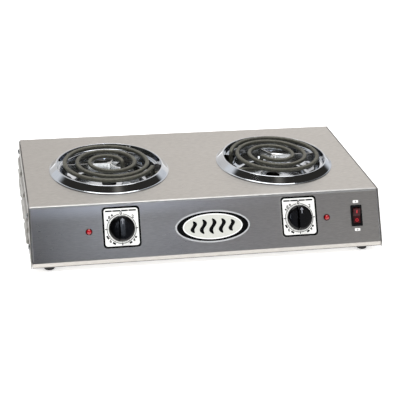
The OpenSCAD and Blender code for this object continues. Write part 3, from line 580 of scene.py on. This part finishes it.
class HOTPLATE_OT_stage(bpy.types.Operator):
    """Camera, paper floor, soft light and the cards that the metal mirrors"""

    bl_idname = "hotplate.stage"
    bl_label = "Stage"

    def execute(self, context):
        p = context.scene.hot_plate_stage
        for part in (self.camera, self.room, self.floor, self.key_light, self.cards):
            part(context, p)
        context.scene.view_settings.view_transform = "Standard"
        return {"FINISHED"}

    def camera(self, context, p):
        """The camera's axes come from its yaw, pitch and roll."""
        yaw, pitch, roll = (math.radians(a) for a in (p.yaw, p.pitch, p.roll))
        ahead = Vector((math.sin(yaw) * math.cos(pitch), math.cos(yaw) * math.cos(pitch), -math.sin(pitch)))
        level = Vector((math.cos(yaw), -math.sin(yaw), 0))
        above = level.cross(ahead)
        right = level * math.cos(roll) + above * math.sin(roll)
        up = above * math.cos(roll) - level * math.sin(roll)
        data = bpy.data.cameras.new("Camera")
        data.lens, data.sensor_width = p.lens, 36
        made = bpy.data.objects.new("Camera", data)
        axes = Matrix((right, up, -ahead)).transposed().to_4x4()
        made.matrix_world = Matrix.Translation(Vector(p.camera_at) * MM) @ axes
        context.scene.collection.objects.link(made)
        context.scene.camera = made

    def room(self, context, p):
        """White light from all round."""
        world = bpy.data.worlds.new("Studio")
        context.scene.world = world
        world.use_nodes = True
        background = world.node_tree.nodes["Background"]
        background.inputs["Color"].default_value = (*p.room, 1)
        background.inputs["Strength"].default_value = p.room_light

    def floor(self, context, p):
        """White seamless paper, lit so evenly that it throws hardly any shadow."""
        half = 6000
        corners = np.array([[[-half, -half, 0], [-half, half, 0]], [[half, -half, 0], [half, half, 0]]], float)
        self.card(context, "floor", grid(corners), tuple(p.floor))

    def key_light(self, context, p):
        """A softbox high up at the left front, for soft light and shading on rounded pieces; glossy surfaces don't
        see it, so it makes no highlights.
        """
        light = bpy.data.lights.new("Softbox", "AREA")
        light.energy, light.size = p.key, 0.5
        made = bpy.data.objects.new("Softbox", light)
        made.location = Vector((-0.9, -0.9, 1.7))
        made.rotation_euler = (-made.location).to_track_quat("-Z", "Y").to_euler()
        made.visible_glossy = False
        context.scene.collection.objects.link(made)

    def cards(self, context, p):
        """Curved cards that only mirrors see. The front one is grey where the sloping panel mirrors it, darker to
        the left, and dark elsewhere, for the pans' flanks; far round the sides it is pale. A lamp strip stands in it
        for the left knob. The back card grades the deck from left to right, and a bright one hangs overhead."""
        turn, z = np.meshgrid(np.linspace(-138, 138, 139), np.linspace(40, 4000, 199), indexing="ij")
        across = np.interp(turn, [-14, 2, 20, 36], [0.02, 0.26, 0.36, 0.42])
        window = self.step(turn, -30, -16) * (1 - self.step(turn, 44, 58)) * (1 - self.step(z, 900, 1040))
        flank = 0.03 + 0.16 * np.exp(-(((turn - 13) / 13) ** 2))
        side = self.step(np.abs(turn), 112, 124)
        grey = across * window + flank * (1 - window) * (1 - side)
        blue = np.interp(turn, [-10, 12, 30], [1.4, 1.2, 1.04])
        tint = np.stack([1.25 - blue / 4, 1 + 0 * blue, blue], -1) * window[..., None]
        tint += (1 - window[..., None]) * [1.06, 1.0, 0.9]
        light = grey[..., None] * tint + side[..., None] * np.array([0.78, 0.8, 0.84])
        self.card(context, "front_card", self.bent(1150, turn, z), light=light)
        turn, z = np.meshgrid(np.linspace(130, 230, 21), np.linspace(150, 2400, 10), indexing="ij")
        tone = 0.86 - 0.12 * np.tanh((turn - 180) / 12)
        light = tone[..., None] * np.array([1.0, 0.98, 0.975])
        self.card(context, "back_card", self.bent(2300, turn, z), light=light)
        turn, z = np.meshgrid(np.linspace(-2.2, 0.2, 3), np.linspace(660, 880, 3), indexing="ij")
        light = np.full(turn.shape + (3,), p.strip) * [0.85, 0.95, 1.1]
        self.card(context, "strip", self.bent(1100, turn, z), light=light)
        x, y = np.meshgrid(np.linspace(-1100, 1100, 3), np.linspace(-450, 600, 3), indexing="ij")
        overhead = grid(np.stack([x, y, np.full_like(x, 2500)], -1))
        self.card(context, "overhead", overhead, light=np.full(x.shape + (3,), p.overhead))

    def bent(self, reach, turn, z):
        """A wall round the object: (reach sin a, -reach cos a, z), with a in degrees from the front."""
        a = np.radians(turn)
        return grid(np.stack([reach * np.sin(a), -reach * np.cos(a), z], -1))

    def step(self, value, start, end):
        """A smooth step from 0 at start to 1 at end: 3t^2 - 2t^3."""
        t = np.clip((value - start) / (end - start), 0, 1)
        return t * t * (3 - 2 * t)

    def card(self, context, name, surface, shade=None, light=None):
        """Paper of one shade that glows softly, or a card that shines with a colour for each point and that only
        glossy surfaces see."""
        points, faces = surface
        mesh = bpy.data.meshes.new(name)
        mesh.from_pydata((points * MM).tolist(), [], faces)
        mat = bpy.data.materials.new("paper_" + name)
        mat.use_nodes = True
        paper = mat.node_tree.nodes["Principled BSDF"]
        paper.inputs["Roughness"].default_value = 0.9
        if light is None:
            paper.inputs["Base Color"].default_value = (*shade, 1)
            paper.inputs["Emission Color"].default_value = (*shade, 1)
            paper.inputs["Emission Strength"].default_value = 0.5
        else:
            glow = mesh.attributes.new("light", "FLOAT_COLOR", "POINT")
            rgba = np.dstack([light, np.ones(light.shape[:2])]).astype(np.float32)
            glow.data.foreach_set("color", rgba.ravel())
            paper.inputs["Base Color"].default_value = (0, 0, 0, 1)
            paper.inputs["Specular IOR Level"].default_value = 0
            paper.inputs["Emission Strength"].default_value = 1
            shine = add(mat, "Attribute", attribute_name="light").outputs["Color"]
            mat.node_tree.links.new(shine, paper.inputs["Emission Color"])
        mesh.materials.append(mat)
        made = bpy.data.objects.new(name, mesh)
        for ray in ("camera", "diffuse", "transmission", "shadow", "volume_scatter"):
            setattr(made, "visible_" + ray, light is None)
        context.scene.collection.objects.link(made)


class HOTPLATE_OT_finishes(bpy.types.Operator):
    """Gives every CAD node the finish of the real piece"""

    bl_idname = "hotplate.finishes"
    bl_label = "Finishes"

    def execute(self, context):
        for made_of, (names, *_) in RECIPES.items():
            for name in names:
                for node in (name + "left", name + "right") if name.endswith("_") else (name,):
                    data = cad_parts[node].data
                    data.materials.clear()
                    data.materials.append(finish(made_of))
        stuff = {name: node.data.materials for name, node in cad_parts.items()}
        bare = [name for name, mats in stuff.items() if not mats or mats[0].name not in FINISHES]
        if bare:
            raise RuntimeError(f"no finish for {bare}")
        return {"FINISHED"}


class HOTPLATE_OT_hems(bpy.types.Operator):
    """Rolled edges beside the front panel, and the burnished bend over it"""

    bl_idname = "hotplate.hems"
    bl_label = "Hems"

    BEND_CUT = 1.75  # how far the fold's arc starts from its corner

    def execute(self, context):
        p = context.scene.hot_plate_housing
        t = np.linspace(0, 2 * math.pi, 24, endpoint=False)
        section = p.hem_r * np.stack([np.cos(t), np.sin(t)], -1)
        reach = math.hypot(SLOPE_RUN, SLOPE_DROP)
        along = np.linspace(-reach + 3, -3, 24)
        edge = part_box("housing_wrap")[1].x / MM
        for name, side in SIDES.items():
            path = np.stack([0 * along, along, 0 * along - p.hem_r + 0.5], -1)
            side_axis = np.tile([1.0, 0, 0], (len(path), 1))
            up_axis = np.tile([0, 0, 1.0], (len(path), 1))
            hem = on_panel(tube(path, side_axis, up_axis, section), side * (edge - p.hem_r), 0)
            piece("front_hem_" + name, hem, "buffed_stainless_edge", "housing")
        piece("front_bend", self.bend(p, edge), "buffed_stainless_edge", "housing")
        return {"FINISHED"}

    def bend(self, p, edge):
        """A thin skin over the fold between deck and panel: the fold's own outline, moved out by p.bend_skin."""
        reach = p.bend_w / 2
        level, slope = np.array([1.0, 0]), -UP_SLOPE[1:]
        ends = [level * reach, np.zeros(2), slope * reach]
        fold = rounded(ends, self.BEND_CUT, 12)
        out = np.array([OUT_OF_PANEL[1:], [0, 1.0]]).sum(0)
        out /= np.linalg.norm(out)
        outer = fold + out * p.bend_skin
        inner = fold[::-1] - out * 0.3
        section = np.vstack([outer, inner])
        x = np.linspace(1.5 - edge, edge - 1.5, 60)
        path = np.stack([x, 0 * x + PANEL_TOP[1], 0 * x + PANEL_TOP[2]], -1)
        return tube(path, np.tile([0, 1.0, 0], (len(x), 1)), np.tile([0, 0, 1.0], (len(x), 1)), section)


class HOTPLATE_OT_drip_pans(bpy.types.Operator):
    """Chrome drip pans, with the window that the element's legs pass through"""

    bl_idname = "hotplate.drip_pans"
    bl_label = "Drip pans"

    WINDOW = (-25.0, 7.5)  # the window's two sides, in degrees from the burner's X axis
    STEPS = 288

    def profile(self, p):
        """The pan's upper surface from the flange to the drain, each bend rounded."""
        floor = -p.bowl_depth
        line = [
            (p.pan_r, 0.1), (p.pan_r, 1.0), (p.pan_r - 1.4, 1.6), (p.crest_out, p.crest_h), (p.crest_in, p.crest_h),
            (p.crest_in - 2.3, 1.0), (p.ledge_r, 1.0), (p.ledge_r - 3.5, -14), (p.bowl_r, floor),
            (p.drain_r + 5, floor - 1.5), (p.drain_r, floor - 1.5),
        ]
        return evenly(rounded(line, [0.5, 0.8, 0.8, 0.9, 1.2, 1.4, 4, 6, 2]), 1.5)

    def execute(self, context):
        p = context.scene.hot_plate_burner
        profile = self.profile(p)
        points, faces = lathe(profile, self.STEPS)
        corners = points[np.array(faces)]
        middle = corners.mean(1)
        angle = np.degrees(np.arctan2(middle[:, 1], middle[:, 0]))
        r = np.hypot(middle[:, 0], middle[:, 1])
        cut = (angle > self.WINDOW[0]) & (angle < self.WINDOW[1]) & (middle[:, 2] > -18) & (middle[:, 2] < 2.2)
        cut &= (r > p.bowl_r) & (r < p.crest_in)
        kept = [face for face, gone in zip(faces, cut) if not gone]
        for name, side in SIDES.items():
            pan = at_burner((points, kept), side)
            piece(
                "chrome_pan_" + name, pan, "chrome_plated_steel", "housing", ["drip_pan_" + name],
                smooth_under=50, thickness=p.pan_t
            )
        return {"FINISHED"}


class HOTPLATE_OT_elements(bpy.types.Operator):
    """Coiled tubular elements with pressed flats, legs and blades"""

    bl_idname = "hotplate.elements"
    bl_label = "Elements"

    TAIL, INNER = -23.4, 19.0  # where the turns start and end, in degrees
    DIVE_R, TURN_R = 7.0, 6.0
    LEG_Z, BLOCK_X = -12.0, 100.0

    def turns(self, p):
        """Half circles whose centres swap sides by a quarter pitch, run clockwise from the tail: for the k-th half
        turn the centre is -/+ step and the radius R - (2k - 1) step."""
        step = p.pitch / 4
        angle = np.linspace(self.TAIL + 360, self.INNER - 720, 620)
        k = np.clip(np.ceil((180 - angle) / 180), 0, 5)
        r = np.where(k == 0, p.coil_r, p.coil_r - (2 * k - 1) * step)
        centre = np.where(k == 0, 0, np.where(k % 2 == 1, -step, step))
        a = np.radians(angle)
        points = np.stack([centre + r * np.cos(a), r * np.sin(a), 0 * a], -1)
        ahead = np.stack([np.sin(a), -np.cos(a), 0 * a], -1)
        return points, np.cross(ahead, [0, 0, 1.0]), np.ones(len(a))

    def leg(self, p, start, heading, drop):
        """Outwards from the end of a turn: a quarter bend down, a straight drop, a quarter bend towards +X and a
        level run to the terminal block; the section's side turns evenly in the drop."""
        h = np.array([math.cos(math.radians(heading)), math.sin(math.radians(heading)), 0])
        t = np.linspace(0, math.pi / 2, 15)[1:, None]
        z = np.array([0, 0, 1.0])
        dive = start + self.DIVE_R * (np.sin(t) * h - (1 - np.cos(t)) * z)
        foot = start + self.DIVE_R * h
        fall = np.linspace(-self.DIVE_R, -drop + self.TURN_R, 8)[1:, None]
        down = foot + fall * z
        turn_r = self.TURN_R
        bend = foot + turn_r * (1 - np.cos(t)) * [1.0, 0, 0] + (turn_r - drop - turn_r * np.sin(t)) * z
        run = np.linspace(bend[-1, 0], self.BLOCK_X, 12)[1:, None]
        level = np.hstack([run, np.tile(bend[-1, 1:], (len(run), 1))])
        points = np.vstack([dive, down, bend, level])
        first = math.radians(heading - 90)
        spread = math.remainder(-math.pi / 2 - first, 2 * math.pi)
        share = np.concatenate([0 * t[:, 0], np.linspace(0, 1, len(down)), 1 + 0 * t[:, 0], np.ones(len(level))])
        turned = first + spread * share
        side = np.stack([np.cos(turned), np.sin(turned), 0 * turned], -1)
        pressed = np.concatenate([np.cos(t[:, 0]), np.zeros(len(points) - len(t))])
        return points, side, pressed

    def execute(self, context):
        p = context.scene.hot_plate_burner
        coil_z = p.crest_h + p.proud - p.tube_d / 2
        drop = coil_z - self.LEG_Z
        turns, turn_side, turn_pressed = self.turns(p)
        tail, tail_side, tail_pressed = self.leg(p, turns[0], self.TAIL + 90, drop)
        inner, inner_side, inner_pressed = self.leg(p, turns[-1], self.INNER - 90, drop)
        path = np.vstack([tail[::-1], turns, inner]) + [0, 0, coil_z]
        side = np.vstack([-tail_side[::-1], turn_side, inner_side])
        pressed = np.concatenate([tail_pressed[::-1], turn_pressed, inner_pressed])
        up = unit(np.cross(side, unit(np.gradient(path, axis=0))))
        t = np.linspace(0, 2 * math.pi, 28, endpoint=False)
        r = p.tube_d / 2
        across = np.tile(r * np.cos(t), (len(path), 1))
        top = (r - p.flat * pressed)[:, None]
        # A soft minimum of the circle and the flat: -ln(exp(-k b) + exp(-k top)) / k
        k = 5.0
        circle = np.tile(r * np.sin(t), (len(path), 1))
        height = np.where(pressed[:, None] > 0, -np.logaddexp(-k * circle, -k * top) / k, circle)
        element = tube(path, side, up, np.stack([across, height], -1))
        blade = slab(round_rect(10, 6, 0.8), -0.6, 0.6)
        blades = [moved(blade, (self.BLOCK_X + 4, leg[-1, 1], self.LEG_Z)) for leg in (tail, inner)]
        for name, turn in SIDES.items():
            coil = at_burner(joined([element, *blades]), turn)
            piece(
                "element_" + name, coil, "oxidised_alloy_sheath", name + "_element",
                ["coil_" + name], smooth_under=60
            )
        return {"FINISHED"}


class HOTPLATE_OT_knobs(bpy.types.Operator):
    """Moulded knobs: a turned skirt with a grip bar across it"""

    bl_idname = "hotplate.knobs"
    bl_label = "Knobs"

    BASE, POCKET_R, POCKET_H = 2.3, 12.0, 7.3

    def skirt(self, p):
        """Turned about the knob's axis, with a hollow for the panel nut."""
        r, base = p.knob_d / 2, self.BASE
        line = [
            (0, base + 7.6), (r - 6, base + 7.0), (r - 2.2, base + 6.2), (r, base + 3.4), (r, base),
            (self.POCKET_R, base), (self.POCKET_R, self.POCKET_H), (0, self.POCKET_H),
        ]
        return lathe(evenly(rounded(line, [3, 1.5, 1.2, 0.5, 0.4, 0.4]), 1.2))

    def grip(self, p):
        """A bar along the slope: its height over the skirt falls off as (1 - |v / L|^12)^(1/4), and its sides flare
        out towards the bottom as the cube of the depth."""
        reach = p.knob_d / 2 - 0.5
        low, high = self.BASE + 4, p.knob_h
        phi = np.linspace(-math.pi / 2, math.pi / 2, 72)
        v = reach * np.sin(phi)
        rise = np.maximum((high - low) * np.maximum(1 - np.abs(v / reach) ** 12, 0) ** 0.25, 0.4)
        half = [(1.0, 0.0), (1.0, 0.25), (1.0, 0.5), (1.0, 0.82), (0.93, 1.0), (0.0, 1.0)]
        right = evenly(rounded(half, [0.08, 0.08, 0.1, 0.05], 5), 0.12)
        share, level = np.concatenate([right, right[-2::-1] * [-1, 1]]).T
        flare = 1.7 * (1 - np.clip(level, 0, 1)) ** 3
        half_width = p.grip_w / 2 * (1 - 0.1 * (v / reach) ** 8)
        x = share[None] * (half_width[:, None] + flare[None])
        w = low + rise[:, None] * level[None]
        return grid(np.stack([x, v[:, None] + 0 * x, w], -1), wrap_cols=True, caps=True)

    def execute(self, context):
        p = context.scene.hot_plate_controls
        for name in SIDES:
            knob = on_panel(joined([self.skirt(p), self.grip(p)]), middle_x("knob_" + name), KNOB_S)
            piece(
                "moulded_knob_" + name, knob, "moulded_phenolic_gloss_black", name + "_knob",
                ["knob_" + name], 40
            )
        return {"FINISHED"}


class HOTPLATE_OT_dials(bpy.types.Operator):
    """Printing on the dial plates: a border, a title bar, a scale ring and numerals"""

    bl_idname = "hotplate.dials"
    bl_label = "Dial printing"

    NUMERALS = {0: "0", 45: "2", 135: "4", 225: "6", 315: "8"}
    TITLE = ((-19.0, 10.5), (-6.6, 12.5), (6.0, 10.5), (18.0, 11.5))  # each bar's middle and its length
    ARCS = ((204, 216), (234, 247), (120, 127), (144, 154), (301, 306), (324, 330))  # thick bars, in degrees

    def execute(self, context):
        p = context.scene.hot_plate_controls
        low, high = PLATE_T - 0.02, PLATE_T + 0.06
        lift = KNOB_S - PLATE_S
        w, h, b = p.plate_w - 0.1, p.plate_h - 0.1, p.border
        border = ring_slab(round_rect(w, h, 6), round_rect(w - 2 * b, h - 2 * b, 4.2), low, high)
        parts = [moved(border, (0, lift, 0))]
        title_y = h / 2 + lift - 6.6
        parts += [moved(slab(round_rect(wide, 2.3, 0.4, 3), low, high), (x, title_y, 0)) for x, wide in self.TITLE]
        ring = p.ring_r
        parts += [dial_bar(ring - 0.4, ring + 0.45, 8, 352, low, high, 120)]
        parts += [dial_bar(ring - 1.4, ring - 0.3, a - 0.8, a + 0.8, low, high, 3) for a in range(30, 331, 30)]
        parts += [dial_bar(ring, ring + 3, a - 1.6, a + 1.6, low, high, 3) for a in (90, 180, 270)]
        for turn, text in self.NUMERALS.items():
            a = math.radians(turn)
            reach = p.mark_r - (1.0 if turn == 0 else -0.6)
            parts.append(moved(numeral(text, p.numeral, low, high), (reach * math.sin(a), reach * math.cos(a), 0)))
        parts += [dial_bar(p.mark_r - 1.2, p.mark_r + 1.7, *ends, low, high, 8) for ends in self.ARCS]
        for name in SIDES:
            ink = on_panel(joined(parts), middle_x("dial_plate_" + name), KNOB_S)
            piece("dial_print_" + name, ink, "black_screen_ink", "housing")
        return {"FINISHED"}


class HOTPLATE_OT_lamps(bpy.types.Operator):
    """Domed pilot lamp lenses"""

    bl_idname = "hotplate.lamps"
    bl_label = "Pilot lamps"

    def execute(self, context):
        p = context.scene.hot_plate_controls
        r = p.lamp_d / 2
        t = np.linspace(0, math.pi / 2, 20)[:, None]
        # The dome is a quarter ellipse from the flange's shoulder to the axis
        inner = r - 1.3
        dome = np.hstack([inner * np.cos(t), 1.3 + (r - 1.5) * np.sin(t)])
        lens = np.vstack([[[0, 0.6], [inner, 0.6]], dome])
        lens[-1, 0] = 0
        rim_r = inner + 0.05
        rim = rounded([(rim_r, -0.02), (r, -0.02), (r, 1.2), (rim_r, 1.7), (rim_r, -0.02)], [0.15, 0.4, 0.3], 5)
        stem = np.array([[0, -6.5], [2.7, -6.5], [2.7, 0.7], [0, 0.7]])
        for name in SIDES:
            x = middle_x("lamp_lens_" + name)
            glass = on_panel(joined([lathe(lens, 64), lathe(stem, 32)]), x, LAMP_S)
            lens_node = "lamp_lens_" + name
            piece("pilot_lens_" + name, glass, "clear_red_acrylic", "housing", [lens_node], 40)
            # The flange's near-black colour is a painted shade
            flange = on_panel(lathe(rim, 64), x, LAMP_S)
            piece("pilot_rim_" + name, flange, "red_acrylic_painted_shade", "housing")
        return {"FINISHED"}


class HOTPLATE_OT_switch(bpy.types.Operator):
    """Marks on the rocker and on the plates over and under the switch"""

    bl_idname = "hotplate.switch"
    bl_label = "Switch marks"

    PIVOT, SWING = -2.5, 10.0
    FACE, FACE_TILT = 4.29, 8.7  # the rocker's face over its pivot, and the slope of its two halves in degrees
    LABEL_V = 22.5

    def mark(self, kind, tall, low, high):
        """A bar for on, or a ring for off."""
        if kind == "on":
            return slab(round_rect(tall * 0.4, tall, tall * 0.12, 4), low, high)
        return ring_slab(oval(tall, tall, 40), oval(tall * 0.52, tall * 0.52, 40), low, high)

    def on_rocker(self, surface, v):
        """From the rocker's upper or lower face to the panel's axes: tilted with the face, then with the rocker."""
        points, faces = surface
        tilt = math.radians(self.FACE_TILT) * (1 if v > 0 else -1)
        swing = math.radians(self.SWING)
        face_z = self.FACE + (abs(v) - 3) * math.tan(abs(tilt))
        for angle, shift in ((tilt, (0, v, face_z)), (swing, (0, 0, self.PIVOT))):
            c, s = math.cos(angle), math.sin(angle)
            points = points @ np.array([[1, 0, 0], [0, c, s], [0, -s, c]]) + shift
        return points, faces

    def execute(self, context):
        marks = [self.on_rocker(self.mark(kind, 5.4, -0.06, 0.1), v) for kind, v in (("on", 7.0), ("off", -6.6))]
        x = middle_x("rocker_housing")
        on_switch = on_panel(joined(marks), x, SWITCH_S)
        piece("rocker_marks", on_switch, "bright_red_acrylic", "rocker")
        places = (("on", self.LABEL_V), ("off", -self.LABEL_V))
        labels = [moved(self.mark(kind, 2.6, 0.28, 0.36), (0, v, 0)) for kind, v in places]
        on_labels = on_panel(joined(labels), x, SWITCH_S)
        piece("label_print", on_labels, "black_screen_ink", "housing")
        return {"FINISHED"}


class HOTPLATE_OT_badge(bpy.types.Operator):
    """The badge's dark band, light line, face and a plain emblem of rising heat"""

    bl_idname = "hotplate.badge"
    bl_label = "Badge"

    RIM = 4.6  # the CAD badge's raised rim, both sides together

    def wave(self, tall, thick, low, high):
        """A stroke whose middle line is x = A sin(2 pi y / tall), thinned to points at both ends."""
        y = np.linspace(-0.5, 0.5, 40)
        middle = 0.13 * tall * np.sin(2 * math.pi * y)
        half = thick / 2 * np.sqrt(np.maximum(1 - (2 * y) ** 4, 0.004))
        right = np.stack([middle + half, y * tall], -1)
        left = np.stack([middle - half, y * tall], -1)
        return slab(np.vstack([right, left[::-1]]), low, high)

    def execute(self, context):
        p = context.scene.hot_plate_badge
        w, h = p.width - self.RIM, p.height - self.RIM
        band_w, band_h = w - 2 * p.side_band, h - 2 * p.top_band
        face_w, face_h = band_w - 2 * p.line, band_h - 2 * p.line
        band = ring_slab(oval(w - 0.2, h - 0.2), oval(band_w, band_h), 0.9, 1.25)
        line = ring_slab(oval(band_w, band_h), oval(face_w, face_h), 0.9, 1.2)
        face = slab(oval(face_w, face_h), 0.9, 1.15)
        places = np.linspace(-1, 1, p.waves) * face_w * 0.33
        talls = face_h * (0.66 - 0.16 * (places / (face_w * 0.33)) ** 2)
        strokes = [moved(self.wave(tall, 6.4, 1.1, 1.3), (x, 0.3, 0)) for x, tall in zip(places, talls)]
        for name, surface, made_of in (
            ("badge_band", band, "black_screen_ink"), ("badge_line", line, "gloss_white_lacquer"),
            ("badge_face", face, "silver_white_lacquer"), ("badge_emblem", joined(strokes), "black_screen_ink"),
        ):
            piece(name, on_panel(surface, middle_x("badge"), BADGE_S), made_of, "housing")
        return {"FINISHED"}


class HOTPLATE_PT_panel(bpy.types.Panel):
    """Sidebar panel that lists the steps"""

    bl_idname = "HOTPLATE_PT_panel"
    bl_label = "Hot plate"
    bl_space_type = "VIEW_3D"
    bl_region_type = "UI"
    bl_category = "Hot plate"

    def draw(self, context):
        for step in STEPS:
            self.layout.operator(step.bl_idname)


PROPS = {
    "hot_plate_stage": StageProps,
    "hot_plate_housing": HousingProps,
    "hot_plate_burner": BurnerProps,
    "hot_plate_controls": ControlProps,
    "hot_plate_badge": BadgeProps,
}
STEPS = (
    HOTPLATE_OT_stage, HOTPLATE_OT_finishes, HOTPLATE_OT_hems, HOTPLATE_OT_drip_pans, HOTPLATE_OT_elements,
    HOTPLATE_OT_knobs, HOTPLATE_OT_dials, HOTPLATE_OT_lamps, HOTPLATE_OT_switch, HOTPLATE_OT_badge,
)


def register():
    for cls in (*PROPS.values(), *STEPS, HOTPLATE_PT_panel):
        bpy.utils.register_class(cls)
    for name, cls in PROPS.items():
        setattr(bpy.types.Scene, name, bpy.props.PointerProperty(type=cls))


def unregister():
    for name in PROPS:
        delattr(bpy.types.Scene, name)
    for cls in (HOTPLATE_PT_panel, *reversed(STEPS), *PROPS.values()):
        bpy.utils.unregister_class(cls)


def main():
    """Builds everything in order."""
    register()
    for step in STEPS:
        group, name = step.bl_idname.split(".")
        getattr(getattr(bpy.ops, group), name)()


if __name__ == "__main__":
    main()
